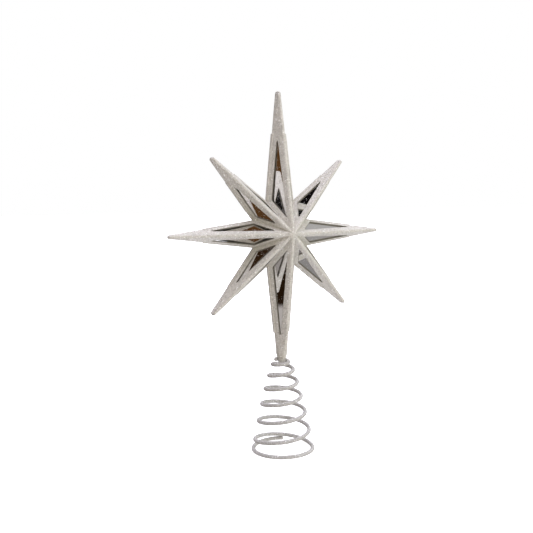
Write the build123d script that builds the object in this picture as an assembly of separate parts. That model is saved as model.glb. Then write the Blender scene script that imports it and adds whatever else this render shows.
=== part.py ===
from build123d import *
from collections import namedtuple
from math import atan, cos, pi, radians, sin, sqrt
import os

# Eight-pointed tree topper star on a conical coil spring. Sizes in mm, +Z up, front towards -Y.
# The origin is the middle of the spring's base, on the surface that it stands on.

# Star, seen from the front: ray lengths run from its centre
TOP_RAY = 118.2
SIDE_RAY = 100.4
DIAGONAL_RAY = 87.9
BOTTOM_RAY = 131.0  # to where its sides would end, the ray itself is cut off at the stub
TIP_HALF_WIDTH = 1.4
TIP_ROUND = 0.9
WIDTHS_AT = 26.0  # from the centre, near the valleys: the rays' half widths are given here
UPRIGHT_HALF_WIDTH = 11.85  # top and bottom rays
SIDE_HALF_WIDTH = 10.9
DIAGONAL_HALF_WIDTH = 9.6
STAR_DEPTH = 24.0  # to where the facets would meet, above the joint plane of the two halves
RIM_DEPTH = 1.9
RIDGE_DROP = 1.35  # how far the rounding lowers the ridges at the star's centre
TIP_RIDGE_ROUND = 1.4
HUB_RADIUS = 2.6  # small dome at the centre
HUB_DROP = 1.1
RAY_START = 2.0  # inside the hub
WALL = 1.4

# Lip round the joint of the two halves, it stops short of each tip
UPRIGHT_LIP = 1.35
SIDE_LIP = 0.6
DIAGONAL_LIP = 0.7
LIP_DEPTH = 1.4
LIP_ROUND = 0.4
TOP_PLAIN_TIP = 35.0
SIDE_PLAIN_TIP = 30.0
DIAGONAL_PLAIN_TIP = 23.0
BOTTOM_PLAIN_TIP = 46.5

# Windows in the facets, and the mirror plates glued behind them
RIDGE_MARGIN = 5.6
RIM_MARGIN = 3.2
VALLEY_MARGIN = 4.0
WINDOW_CORNER = 0.4
WINDOW_BEVEL = 0.6
MIRROR_THICKNESS = 0.8
MIRROR_OVERLAP = 1.0
GLUE_LINE = 0.05

# Locating pins of the front half in the rear half's sockets
PIN_RADIUS = 0.7
PIN_LENGTH = 1.5
PIN_CLEARANCE = 0.1
PIN_FROM_TIP = 7.0
PIN_FROM_STUB_END = 6.0

# Conical coil spring
WIRE = 2.9
SPRING_HEIGHT = 80.6
TURNS = 7.25
BASE_TURN_RADIUS = 26.0
NECK_TURN_RADIUS = 7.8  # where the taper ends, the wire then curls in to the top turn
TOP_TURN_RADIUS = 4.55
CURL_TURNS = 0.6
FLAT_TURNS = 0.8  # lying on the surface
GRIP_TURNS = 0.3  # at the top radius
CLOSED_TURNS = 1.0  # wound close at the top
CLOSED_PITCH = 4.2
PITCH_FALL = 0.33  # how much closer the turns lie towards the top
COIL_START_ANGLE = 62.0
BASE_CUT = 0.5

# Bottom ray's stub, and the spigot inside the spring's top turn
STUB_END = 105.4  # from the star's centre
STUB_RADIUS = 4.1
STUB_ROUND_FROM = 88.0
CAVITY_END = 94.0
NOSE_LENGTH = 1.6
SPIGOT_LENGTH = 7.0
SPIGOT_CHAMFER = 0.6
GRIP_CLEARANCE = 0.2
SEAT_CLEARANCE = 0.3

CUT_MARGIN = 0.3
FAR = 200.0  # longer than any ray
TANGENT_STEP = 0.01  # of a turn
GAP_SAMPLES = 6  # points on each arc of the coil

RayKind = namedtuple("RayKind", "half_width lip")
UPRIGHT = RayKind(UPRIGHT_HALF_WIDTH, UPRIGHT_LIP)
SIDEWAYS = RayKind(SIDE_HALF_WIDTH, SIDE_LIP)
DIAGONAL = RayKind(DIAGONAL_HALF_WIDTH, DIAGONAL_LIP)

Ray = namedtuple("Ray", "name angle length plain_tip kind sides")
RAYS = [
    Ray("right", 0, SIDE_RAY, SIDE_PLAIN_TIP, SIDEWAYS, ("upper", "lower")),
    Ray("upper_right", 45, DIAGONAL_RAY, DIAGONAL_PLAIN_TIP, DIAGONAL, ("upper", "lower")),
    Ray("top", 90, TOP_RAY, TOP_PLAIN_TIP, UPRIGHT, ("left", "right")),
    Ray("upper_left", 135, DIAGONAL_RAY, DIAGONAL_PLAIN_TIP, DIAGONAL, ("lower", "upper")),
    Ray("left", 180, SIDE_RAY, SIDE_PLAIN_TIP, SIDEWAYS, ("lower", "upper")),
    Ray("lower_left", 225, DIAGONAL_RAY, DIAGONAL_PLAIN_TIP, DIAGONAL, ("lower", "upper")),
    Ray("bottom", 270, BOTTOM_RAY, BOTTOM_PLAIN_TIP, UPRIGHT, ("right", "left")),
    Ray("lower_right", 315, DIAGONAL_RAY, DIAGONAL_PLAIN_TIP, DIAGONAL, ("upper", "lower")),
]

# The spigot fills the top turn, and the nose above it seats on the wire
spigot_radius = TOP_TURN_RADIUS - WIRE / 2 - GRIP_CLEARANCE
nose_angle = atan((STUB_RADIUS - spigot_radius) / NOSE_LENGTH)
top_wire_height = SPRING_HEIGHT - WIRE / 2
seat_reach = WIRE / 2 + SEAT_CLEARANCE - (WIRE / 2 + GRIP_CLEARANCE) * cos(nose_angle)
neck_height = top_wire_height + seat_reach / sin(nose_angle)
centre_height = neck_height + STUB_END + NOSE_LENGTH

# The star's own plane: x to the right, y up, z towards the front
star_plane = Plane(origin=(0, 0, centre_height), x_dir=(1, 0, 0), z_dir=(0, -1, 0))
apex = Vector(0, 0, STAR_DEPTH)


def on_ray(angle, across, along, height=0.0):
    """A point of the star given along and across a ray."""
    turn = radians(angle)
    x = along * cos(turn) - across * sin(turn)
    y = along * sin(turn) + across * cos(turn)
    return Vector(x, y, height)


def half_width(ray, along):
    """Half of a ray's width at its rim, which falls evenly to the tip."""
    taper = (ray.kind.half_width - TIP_HALF_WIDTH) / (ray.length - WIDTHS_AT)
    return TIP_HALF_WIDTH + taper * (ray.length - along)


def rim_line(ray, side, lip):
    """Two points of a ray's rim, or of its lip."""
    stand_out = ray.kind.lip if lip else 0
    near = on_ray(ray.angle, side * (half_width(ray, 0) + stand_out), 0)
    tip = on_ray(ray.angle, side * (TIP_HALF_WIDTH + stand_out), ray.length)
    return near, tip


def valley_point(ray, side, height, lip=False):
    """Where a ray's rim meets the rim of the next ray on that side."""
    neighbour = RAYS[(RAYS.index(ray) + side) % len(RAYS)]
    start, end = rim_line(ray, side, lip)
    other_start, other_end = rim_line(neighbour, -side, lip)
    run = end - start
    across = (other_end - other_start).cross(Vector(0, 0, 1))
    meeting = start + run * ((other_start - start).dot(across) / run.dot(across))
    return Vector(meeting.X, meeting.Y, height)


def lip_outline():
    """The outline with the lip all round: a valley and a blunt tip for each ray."""
    corners = []
    for ray in RAYS:
        corners.append(valley_point(ray, -1, 0, lip=True))
        corners.append(rim_line(ray, -1, True)[1])
        corners.append(rim_line(ray, 1, True)[1])
    return corners


def polygon(corners):
    return Face(Wire.make_polygon(corners))


def side_slope(ray):
    """How steeply a ray's two sides rise from its rim to the apex."""
    return (STAR_DEPTH - RIM_DEPTH) / half_width(ray, 0)


def ridge_arc(ray, along):
    """The rounded ridge at this place: where it touches the side, and its top."""
    lean = atan(side_slope(ray))
    centre_round = RIDGE_DROP / (1 / cos(lean) - 1)
    radius = centre_round + (TIP_RIDGE_ROUND - centre_round) * along / ray.length
    sides_meet = RIM_DEPTH + side_slope(ray) * half_width(ray, along)
    middle = sides_meet - radius / cos(lean)
    return radius * sin(lean), middle + radius * cos(lean), middle + radius


def ray_section(ray, along):
    """Section across a ray: upright rims, flat sides and the rounded ridge."""
    width = half_width(ray, along)
    across, height, top = ridge_arc(ray, along)
    corners = [
        (across, height),
        (width, RIM_DEPTH),
        (width, 0),
        (-width, 0),
        (-width, RIM_DEPTH),
        (-across, height),
    ]
    ridge = ThreePointArc(corners[-1], (0, top), corners[0])
    outward = on_ray(ray.angle, 0, 1)
    place = Plane(on_ray(ray.angle, 0, along), x_dir=on_ray(ray.angle, 1, 0), z_dir=outward)
    return place * make_face(Polyline(corners) + ridge)


def hub():
    """Small dome at the star's centre, where the ridges run together."""
    top = min(ridge_arc(ray, 0)[-1] for ray in RAYS)
    edge = top - HUB_DROP
    dome = TangentArc((0, top), (HUB_RADIUS, edge), tangent=(1, 0))
    sides = Polyline((HUB_RADIUS, edge), (HUB_RADIUS, 0), (0, 0), (0, top))
    return revolve(Plane.XZ * make_face(dome + sides), Axis.Z)


def star_solid():
    """Half of the star: each ray runs straight from the hub to its blunt tip."""
    star = hub()
    for ray in RAYS:
        star += loft([ray_section(ray, RAY_START), ray_section(ray, ray.length)], ruled=True)
    return star


def round_tips(star):
    """The upright and the upper edges of each blunt tip, rounded."""
    radius = min(TIP_ROUND, 0.6 * TIP_RIDGE_ROUND, 0.6 * TIP_HALF_WIDTH, 0.6 * RIM_DEPTH)
    edges = []
    for ray in RAYS:
        outward = on_ray(ray.angle, 0, 1)
        for edge in star.edges():
            ends = [Vector(vertex).dot(outward) for vertex in edge.vertices()]
            raised = edge.center().Z > 0
            if min(ends) > ray.length - CUT_MARGIN and raised and ray.name != "bottom":
                edges.append(edge)
    return fillet(edges, radius)


def facet_corners(ray, side):
    valley = valley_point(ray, side, RIM_DEPTH)
    tip = on_ray(ray.angle, side * TIP_HALF_WIDTH, ray.length, RIM_DEPTH)
    return apex, valley, tip


def facet_normal(corners):
    a, b, c = corners
    normal = (b - a).cross(c - a).normalized()
    return normal if normal.Z > 0 else -normal


def facet_distance(corners):
    """How far the facet's plane lies from the middle of the star."""
    return facet_normal(corners).dot(apex)


def inset_triangle(corners, margins):
    """A smaller triangle whose edges ab, bc and ca lie inside by their own margins."""
    a, b, c = corners
    double_area = (b - a).cross(c - a).length
    ab = margins[0] * (b - a).length / double_area
    bc = margins[1] * (c - b).length / double_area
    ca = margins[2] * (a - c).length / double_area
    inner_a = a * (1 - ab - ca) + c * ab + b * ca
    inner_b = b * (1 - ab - bc) + c * ab + a * bc
    inner_c = c * (1 - bc - ca) + a * bc + b * ca
    return inner_a, inner_b, inner_c


def pane(corners, grow, corner):
    """The window's triangle with rounded corners, grown on every side."""
    margins = [VALLEY_MARGIN - grow, RIM_MARGIN - grow, RIDGE_MARGIN - grow]
    face = polygon(inset_triangle(corners, margins))
    return face.fillet_2d(corner, face.vertices())


# Every wall of the cavity is parallel to the outside, so it is the same star, drawn in towards its middle
nearest_facet = min(facet_distance(facet_corners(ray, 1)) for ray in RAYS)
cavity_scale = 1 - WALL / nearest_facet


def wall_here(corners):
    return (1 - cavity_scale) * facet_distance(corners)


def window_cutter(ray, side):
    """A straight cut through the wall, with a bevel round its outer edge."""
    corners = facet_corners(ray, side)
    normal = facet_normal(corners)
    depth = wall_here(corners) + 2 * CUT_MARGIN
    outside = Pos(normal * CUT_MARGIN)
    reach = WINDOW_BEVEL + CUT_MARGIN
    hole = extrude(outside * pane(corners, 0, WINDOW_CORNER), depth, dir=-normal)
    mouth = outside * pane(corners, reach, WINDOW_CORNER + reach)
    return hole + extrude(mouth, reach, dir=-normal, taper=45)


def mirror_plate(ray, side):
    """A thin plate against the inside of the wall, lapping the window all round."""
    corners = facet_corners(ray, side)
    normal = facet_normal(corners)
    place = Pos(normal * -(wall_here(corners) + GLUE_LINE))
    face = place * pane(corners, MIRROR_OVERLAP, WINDOW_CORNER)
    return extrude(face, MIRROR_THICKNESS, dir=-normal)


def lip():
    """A flange on the joint plane, as far as each ray's plain tip."""
    band = polygon(lip_outline())
    ends = []
    for ray in RAYS:
        middle = on_ray(ray.angle, 0, ray.length - ray.plain_tip + FAR / 2)
        ends.append(Pos(middle) * Rot(0, 0, ray.angle) * Rectangle(FAR, WIDTHS_AT))
    flange = extrude(band - ends, LIP_DEPTH)
    return fillet(flange.edges().group_by(Axis.Z)[-1], min(LIP_ROUND, 0.7 * LIP_DEPTH))


def stub_envelope():
    """Round cone that draws in the bottom ray's end, then the nose and the spigot."""
    neck = STUB_END + NOSE_LENGTH
    end = neck + SPIGOT_LENGTH
    bottom_ray = next(ray for ray in RAYS if ray.name == "bottom")
    ridge_top = ridge_arc(bottom_ray, STUB_ROUND_FROM)[-1]
    profile = [
        (0, -STUB_ROUND_FROM),
        (ridge_top, -STUB_ROUND_FROM),
        (STUB_RADIUS, -STUB_END),
        (spigot_radius, -neck),
        (spigot_radius, -end + SPIGOT_CHAMFER),
        (spigot_radius - SPIGOT_CHAMFER, -end),
        (0, -end),
    ]
    return revolve(make_face(Polyline(profile, close=True)), Axis.Y)


def beyond(along):
    """Everything of the bottom ray that lies further out than this."""
    return Pos(0, -along - FAR / 2, 0) * Box(FAR, FAR, FAR)


def pin_places():
    places = []
    for ray in RAYS:
        along = ray.length - PIN_FROM_TIP
        if ray.name == "bottom":
            along = STUB_END - PIN_FROM_STUB_END
        places.append(Pos(on_ray(ray.angle, 0, along)))
    return places


def half_frame():
    """One half of the star: a thin shell with its windows, lip, stub and half of the spigot."""
    star = star_solid()
    envelope = split(stub_envelope(), Plane.XY, keep=Keep.TOP)
    stub = (star & envelope & beyond(STUB_ROUND_FROM)) + (envelope & beyond(STUB_END))
    cavity = scale(star, cavity_scale) - beyond(CAVITY_END)
    outside = round_tips(star) - beyond(STUB_ROUND_FROM) + stub + lip()
    windows = [window_cutter(ray, side) for ray in RAYS for side in (1, -1)]
    return outside - cavity - windows


def pins(clearance):
    """A pin at each tip, or the hole that takes it with this clearance all round."""
    below = (Align.CENTER, Align.CENTER, Align.MAX)
    pin = Cylinder(PIN_RADIUS + clearance, PIN_LENGTH + clearance, align=below)
    return [place * pin for place in pin_places()]


def coil_radius(turn):
    """Steady taper from the base turn to the neck, then a curl in to the top turn."""
    curl_from = TURNS - GRIP_TURNS - CURL_TURNS
    if turn <= curl_from:
        share = max((turn - FLAT_TURNS) / (curl_from - FLAT_TURNS), 0)
        return BASE_TURN_RADIUS + share * (NECK_TURN_RADIUS - BASE_TURN_RADIUS)
    curl = min((turn - curl_from) / CURL_TURNS, 1)
    return NECK_TURN_RADIUS + (TOP_TURN_RADIUS - NECK_TURN_RADIUS) * (1 - cos(pi * curl)) / 2


def coil_height(turn):
    """Flat base, then turns that lie closer towards the top, then a close-wound end."""
    base = WIRE / 2 - BASE_CUT
    closed_from = TURNS - CLOSED_TURNS
    active = top_wire_height - base - CLOSED_PITCH * CLOSED_TURNS
    if turn <= FLAT_TURNS:
        return base
    if turn >= closed_from:
        return base + active + CLOSED_PITCH * (turn - closed_from)
    share = (turn - FLAT_TURNS) / (closed_from - FLAT_TURNS)
    return base + active * (share + PITCH_FALL * share * (1 - share))


def coil_point(turn):
    angle = COIL_START_ANGLE + 360 * turn
    return on_ray(angle, 0, coil_radius(turn), coil_height(turn))


def coil_tangent(turn):
    return (coil_point(turn + TANGENT_STEP) - coil_point(turn - TANGENT_STEP)).normalized()


def biarc(start, start_tangent, end, end_tangent):
    """Two arcs with a common tangent where they meet, equally long in their tangents."""
    gap = end - start
    both = start_tangent + end_tangent
    bend = 2 * (1 - start_tangent.dot(end_tangent))
    reach = (sqrt(gap.dot(both) ** 2 + bend * gap.dot(gap)) - gap.dot(both)) / bend
    middle = (start + end + (start_tangent - end_tangent) * reach) * 0.5
    tangent = (end - end_tangent * reach) - (start + start_tangent * reach)
    first = Edge.make_tangent_arc(start, start_tangent, middle)
    second = Edge.make_tangent_arc(middle, tangent.normalized(), end)
    return [first, second]


def coil_path():
    quarters = round(4 * TURNS)
    edges = []
    for i in range(quarters):
        a = i * TURNS / quarters
        b = (i + 1) * TURNS / quarters
        edges += biarc(coil_point(a), coil_tangent(a), coil_point(b), coil_tangent(b))
    return Wire(edges)


def least_gap(path):
    """Least clear distance between points of the wire that lie more than half a turn apart."""
    points = []
    for arc in path.edges():
        points += [arc.position_at(i / GAP_SAMPLES) for i in range(GAP_SAMPLES)]
    half_turn = round(len(points) / TURNS / 2)
    gaps = []
    for i, point in enumerate(points):
        gaps += [(other - point).length for other in points[i + half_turn:]]
    return min(gaps) - WIRE


def tree_spring():
    """One unbroken wire, cut flat where it stands."""
    path = coil_path()
    print("spring: least gap between turns", round(least_gap(path), 2), "mm")
    section = Plane(origin=coil_point(0), z_dir=path.tangent_at(0)) * Circle(WIRE / 2)
    wire = sweep(section, path=path)
    below = Pos(0, 0, -FAR / 2) * Box(FAR, FAR, FAR)
    print("spring: volume", round(wire.volume), "section times length", round(section.area * path.length))
    return wire - below


def main():
    os.makedirs("parts", exist_ok=True)
    half = half_frame()
    front = half + pins(0)
    rear = mirror(half, Plane.XY) - pins(PIN_CLEARANCE)
    nodes = {"front_frame": star_plane * front, "rear_frame": star_plane * rear}
    for ray in RAYS:
        for side, side_name in zip((1, -1), ray.sides):
            plate = mirror_plate(ray, side)
            name = f"mirror_{ray.name}_ray_{side_name}"
            nodes["front_" + name] = star_plane * plate
            nodes["rear_" + name] = star_plane * mirror(plate, Plane.XY)
    nodes["tree_spring"] = tree_spring()
    for name, shape in nodes.items():
        export_step(shape, f"parts/{name}.step")


main()
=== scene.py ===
import math

import bmesh
import bpy
import numpy as np
from bpy.props import FloatProperty, FloatVectorProperty, IntProperty, PointerProperty
from mathutils import Matrix, Vector
from numpy.linalg import norm


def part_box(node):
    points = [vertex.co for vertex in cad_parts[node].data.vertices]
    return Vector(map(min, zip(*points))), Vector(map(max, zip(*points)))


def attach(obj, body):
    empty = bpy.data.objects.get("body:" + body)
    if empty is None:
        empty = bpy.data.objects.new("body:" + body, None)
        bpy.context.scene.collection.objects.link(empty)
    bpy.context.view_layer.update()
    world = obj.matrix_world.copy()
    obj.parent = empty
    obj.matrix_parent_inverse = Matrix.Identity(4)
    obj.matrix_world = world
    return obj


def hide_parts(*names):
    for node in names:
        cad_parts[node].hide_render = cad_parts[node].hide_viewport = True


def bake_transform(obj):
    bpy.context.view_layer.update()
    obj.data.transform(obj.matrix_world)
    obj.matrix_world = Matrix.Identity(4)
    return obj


bl_info = {
    "name": "Tree topper star",
    "version": (1, 0, 0),
    "blender": (4, 5, 0),
    "location": "3D View > Sidebar > Star",
    "description": "Dresses an eight-pointed mirror star on its coil spring",
    "category": "Object",
}

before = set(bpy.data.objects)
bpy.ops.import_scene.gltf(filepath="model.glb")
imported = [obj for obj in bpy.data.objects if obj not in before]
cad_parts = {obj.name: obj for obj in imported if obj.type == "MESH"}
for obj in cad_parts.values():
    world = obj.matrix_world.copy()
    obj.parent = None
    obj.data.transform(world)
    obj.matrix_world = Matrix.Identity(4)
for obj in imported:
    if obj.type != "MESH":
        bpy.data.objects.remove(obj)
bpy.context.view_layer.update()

IMAGE_SIZE = 533
STAR_BODY = "star"
# Name of the point attribute that says where painted shade darkens the coat along the windows' edges
PAINTED_SHADE_ATTRIBUTE = "painted_window_shade"
RAY_STEP = math.radians(45)
HALF_STEP = RAY_STEP / 2

# The rays in turn from the right one, seen from the front. Each has the first words of three names:
# of its length, of its width and lip, and of its mirrors' tilt.
RAYS = (
    ("side", "side", "right"),
    ("diagonal", "diagonal", "right_diagonal"),
    ("top", "upright", "top"),
    ("diagonal", "diagonal", "left_diagonal"),
    ("side", "side", "left"),
    ("lower_diagonal", "diagonal", "left_diagonal"),
    ("bottom", "upright", "bottom"),
    ("lower_diagonal", "diagonal", "right_diagonal"),
)

# How finely the surfaces are drawn
INNER_STATIONS = 34
OUTER_STATIONS = 42
TIP_STATIONS = 7
RIDGE_POINTS = 6
RIM_POINTS = 6
DOME_RINGS = 7
PLATE_STEPS = 12  # along each edge of a mirror plate
WIRE_END_RINGS = 4
WINDOW_ROUNDS = 6  # in which the skewed lines find the window's edges
STATION_DIGITS = 6
LIP_STEPS = np.array([-0.5, -0.2, 0.2, 0.5])  # where the lip runs out, as shares of that length
EDGE_STEPS = np.array([1.0, 0.62, 0.3, 0.08, 0.0])  # on the window's rolled edge, as shares of its radius
PAINTED_SHADE_STEPS = np.array([0.0, 0.5, 1.0, 1.0, 1.0, 1.0])  # how much painted shade darkens the coat there and at the wall's foot

# Small lengths and shares of the surfaces
PAST_VALLEYS = 0.002  # how far the stations that all rays share go beyond the last valley
SKEW_KEPT = 0.004  # beyond a valley the lines stay skewed for this length, and straighten over the next
SKEW_FADE = 0.012
SPIGOT_FACE = 0.0001  # height of the cone that closes the spigot's end
PLATE_REACH = 0.01  # from a plate's middle to its outline, of which the bevel takes its share
RIDGE_MOST = 0.8  # share of a side that its ridge may take
SEAM_FROM_RIDGE = 1.1  # the seam beyond a window lies between these shares of the ridge and of the rim
SEAM_TO_RIM = 0.93
TIP_SEAM_TO_RIM = 0.9
LIP_BEND = 0.3  # share of the lip's rounding at its middle point
WIRE_END = 0.25  # length of the wire's rounded ends, in diameters
HALF_WELD = 0.00006
PLATE_WELD = 0.00002
HALF_CREASE = math.radians(40)
PLATE_CREASE = math.radians(10)
SAME_PLACE = 1e-6
SAME_PLANE = 1e-7
LEAST_RADIUS = 1e-9

# The glitter coats and the mirrors: sizes of their patterns, and the bands of values that are used
COAT_FLAKE = 0.0005
COAT_LEAN = 0.8
WIRE_FLAKE = 0.00045
WIRE_LEAN = 0.7
FLAKE_STOPS = (0.0, 0.25, 0.62, 0.8, 1.0)
NOISE_BAND = (0.3, 0.7)
PATCH = 0.009
PATCH_TONES = (0.94, 1.05)
GRAIN = 0.0011
GRAIN_TONES = (0.86, 1.1)
SPARKLE = 1.4  # in flakes
SPARKLE_BAND = (0.95, 0.98)
METAL_BAND = (0.7, 0.95)
# The most that the painted shade along the windows' edges darkens the coat
PAINTED_SHADE_SHARE = 0.85
SPECK = 0.0005
SPECK_BAND = (0.975, 0.985)
FILM = 0.011
FILM_SHARE = (0.0, 0.25)
FILM_BAND = (0.4, 0.7)
RIPPLE = 0.018
FLOOR_CLOUD = 0.6
WHITE = (1.0, 1.0, 1.0)
BLACK = (0.0, 0.0, 0.0)

STAR_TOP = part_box("front_frame")[1].z
SPRING_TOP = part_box("tree_spring")[1].z


def length(label, text, default):
    return FloatProperty(name=label, description=text, default=default, unit="LENGTH", precision=5)


def amount(label, text, default):
    return FloatProperty(name=label, description=text, default=default)


def angle(label, text, degrees):
    return FloatProperty(name=label, description=text, default=math.radians(degrees), subtype="ANGLE")


def plate_tilt(label, degrees):
    return angle(label, "How much steeper than the wall the mirror plates lie", degrees)


def point(label, text, default):
    return FloatVectorProperty(name=label, description=text, default=default, subtype="TRANSLATION", size=3)


def colour(label, text, default):
    return FloatVectorProperty(name=label, description=text, default=default, subtype="COLOR", size=3)


class StarSizes(bpy.types.PropertyGroup):
    top_ray: length("Top ray", "From the star's centre to the upper tip", 0.1182)
    side_ray: length("Side rays", "From the centre to the left and right tips", 0.1004)
    diagonal_ray: length("Diagonal rays", "From the centre to the upper slanted tips", 0.0879)
    lower_diagonal_ray: length("Lower diagonal rays", "From the centre to the lower slanted tips", 0.0908)
    bottom_ray: length("Bottom ray", "To where the sides of the lower ray would end", 0.131)
    top_plain_tip: length("Plain upper tip", "Length beyond the lip", 0.035)
    side_plain_tip: length("Plain side tips", "Length beyond the lip", 0.030)
    diagonal_plain_tip: length("Plain diagonal tips", "Length beyond the lip", 0.023)
    lower_diagonal_plain_tip: length("Plain lower tips", "Length beyond the lip", 0.0259)
    bottom_plain_tip: length("Plain lower end", "Length beyond the lip", 0.0465)
    tip_half_width: length("Tip half width", "Half of a ray's width at its tip", 0.0014)
    tip_nose: length("Tip nose", "Length over which a tip rounds off", 0.0018)
    widths_at: length("Widths at", "Distance from the centre at which the half widths hold", 0.026)
    upright_half_width: length("Upright half width", "Half width of the top and bottom rays", 0.01185)
    side_half_width: length("Side half width", "Half width of the left and right rays", 0.0109)
    diagonal_half_width: length("Diagonal half width", "Half width of the slanted rays", 0.0096)
    depth: length("Depth", "From the joint plane to where the facets would meet", 0.0255)
    rim_depth: length("Rim depth", "Height of the upright rim above the joint plane", 0.0019)
    wall: length("Wall", "Thickness of the moulded wall in front of the mirrors", 0.0009)
    skin: length("Skin", "Thickness of the shell behind the coat", 0.0009)
    ridge_drop: length("Ridge drop", "How far the rounding lowers the ridges at the centre", 0.0019)
    tip_ridge_round: length("Tip ridge rounding", "Radius of the ridges at the tips", 0.0015)
    rim_blend: length("Rim blend", "Width over which a facet turns into the rim", 0.0010)
    upright_lip: length("Upright lip", "How far the lip stands out on the top and bottom rays", 0.00135)
    side_lip: length("Side lip", "How far the lip stands out on the left and right rays", 0.0006)
    diagonal_lip: length("Diagonal lip", "How far the lip stands out on the slanted rays", 0.0007)
    lip_depth: length("Lip depth", "Height of the lip above the joint plane", 0.0015)
    lip_round: length("Lip rounding", "Rounding of the lip's outer edge", 0.0004)
    lip_fade: length("Lip end", "Length over which the lip runs out", 0.0008)
    ridge_margin: length("Ridge margin", "From a ridge to the window", 0.0056)
    rim_margin: length("Rim margin", "From the rim to the window", 0.0032)
    valley_margin: length("Valley margin", "From a valley crease to the window", 0.0040)
    window_corner: length("Window corner", "Radius of the window's corners", 0.0004)
    window_round: length("Window edge", "Rounding of the window's outer edge", 0.0005)
    glue_line: length("Glue line", "Gap between the wall and the mirror", 0.00007)
    mirror: length("Mirror", "Thickness of the mirror plates", 0.0008)
    mirror_overlap: length("Mirror overlap", "How far the plates reach behind the wall", 0.001)
    top_mirror_tilt: plate_tilt("Top mirror tilt", 4.2)
    bottom_mirror_tilt: plate_tilt("Bottom mirror tilt", 2.2)
    left_mirror_tilt: plate_tilt("Left mirror tilt", -6.6)
    right_mirror_tilt: plate_tilt("Right mirror tilt", 0.0)
    left_diagonal_mirror_tilt: plate_tilt("Left diagonal mirror tilt", -1.6)
    right_diagonal_mirror_tilt: plate_tilt("Right diagonal mirror tilt", 0.0)
    mirror_ease: length("Mirror edge", "Bevel of the plates' edges", 0.00015)
    centre_cap: length("Centre cap", "Where the ridges run into the dome at the centre", 0.0045)
    cap_rise: length("Cap rise", "Height of the dome above the ridges at its edge", 0.0005)
    stub_from: length("Stub start", "Where the lower ray starts to draw in", 0.088)
    stub_end: length("Stub end", "Where the lower ray ends in a round nose", 0.1054)
    stub_radius: length("Stub radius", "Radius of the nose", 0.0041)
    stub_blend: length("Stub blend", "Length over which the stub gets round", 0.007)
    nose_length: length("Nose length", "Length of the cone under the stub", 0.0030)
    spigot_radius: length("Spigot radius", "Radius inside the spring's top turn", 0.0031)
    spigot_length: length("Spigot length", "Length inside the spring's top turns", 0.0056)
    spigot_chamfer: length("Spigot chamfer", "Bevel of the spigot's end", 0.0006)


class SpringSizes(bpy.types.PropertyGroup):
    wire: length("Wire", "Diameter of the coated wire", 0.00342)
    height: length("Height", "From the surface to the top of the coil", SPRING_TOP)
    turns: amount("Turns", "Turns from end to end", 7.25)
    base_radius: length("Base radius", "Radius of the lowest turn", 0.02571)
    neck_radius: length("Neck radius", "Radius where the even taper ends", 0.0078)
    top_radius: length("Top radius", "Radius of the highest turn", 0.0050)
    curl_turns: amount("Curl turns", "Turns from the neck to the top turn", 0.6)
    flat_turns: amount("Flat turns", "Turns that lie on the surface", 0.8)
    grip_turns: amount("Grip turns", "Turns at the top radius", 0.3)
    closed_turns: amount("Closed turns", "Turns wound close at the top", 1.0)
    closed_pitch: length("Closed pitch", "Rise of a close turn", 0.0042)
    pitch_fall: amount("Pitch fall", "How much closer the turns lie higher up", 0.33)
    start_angle: angle("Start angle", "Where the wire starts, seen from above", 62)
    base_cut: length("Base cut", "Depth of the flat under the lowest turn", 0.00049)
    steps: IntProperty(name="Steps", description="Rings of the tube in a turn", default=110)
    sides: IntProperty(name="Sides", description="Points round the wire", default=20)


class FinishColours(bpy.types.PropertyGroup):
    coat: colour("Coat", "Warm silver-white glitter of the star", (0.66, 0.64, 0.585))
    coat_shade: colour("Coat shade", "Darker flakes in the coat", (0.52, 0.49, 0.43))
    coat_blush: colour("Coat blush", "Pink flakes in the coat", (0.70, 0.63, 0.60))
    coat_leaf: colour("Coat tint", "Greenish flakes in the coat", (0.63, 0.65, 0.57))
    # Painted shade: a dark tone laid on the coat along the windows' edges, where the recess walls fall in
    # shade
    painted_edge_shade: colour("Coat edge", "Worn dull coat on the windows' edges", (0.25, 0.23, 0.185))
    sparkle: colour("Sparkle", "The few bright flakes in a coat", (0.95, 0.94, 0.92))
    wire: colour("Wire", "Silver glitter of the spring", (0.54, 0.525, 0.505))
    wire_shade: colour("Wire shade", "Darker flakes on the spring", (0.38, 0.365, 0.345))
    wire_tint: colour("Wire tint", "Lighter flakes on the spring", (0.62, 0.605, 0.59))
    silver: colour("Mirror", "Silvering of the mirrors", (0.90, 0.89, 0.89))
    film: colour("Film", "Faint film on the mirrors", (0.78, 0.76, 0.74))
    speck: colour("Speck", "Loose glitter and dust on the mirrors", (0.55, 0.53, 0.52))
    floor: colour("Floor", "Plain pale floor", (0.96, 0.96, 0.96))
    floor_shade: colour("Floor shade", "Darker clouds on the floor", (0.93, 0.93, 0.93))


class StageSizes(bpy.types.PropertyGroup):
    azimuth: angle("Azimuth", "Camera's angle round the star", -29.31)
    elevation: angle("Elevation", "Camera's angle above the horizon", 4.86)
    roll: angle("Roll", "Camera's lean", -0.858)
    distance: length("Distance", "From the camera to the point that it looks at", 0.6126)
    look_height: length("Look height", "Height of the point that the camera looks at", 0.1586)
    focal_pixels: amount("Focal length", "In pixels of the image", 721.57)
    middle_pixel: amount("Middle column", "Image column of the optical axis", 280.36)
    sensor: amount("Sensor", "Sensor width in millimetres", 36.0)
    near_clip: length("Near clip", "Nearest distance that the camera sees", 0.01)
    far_clip: length("Far clip", "Furthest distance that the camera sees", 50.0)
    floor_size: length("Floor size", "Side of the floor", 40.0)
    floor_glow: amount("Floor glow", "Light of the backlit floor", 0.62)
    key_power: FloatProperty(name="Key light", description="Power of the lamp", default=1.2, unit="POWER")
    key_size: length("Key light size", "Side of the lamp", 0.7)
    key_place: point("Key light place", "Where the lamp hangs", (0.75, -0.7, 0.85))
    key_target: point("Key light target", "The point that the lamp faces", (0.0, 0.0, 0.18))


# Mesh helpers


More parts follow.
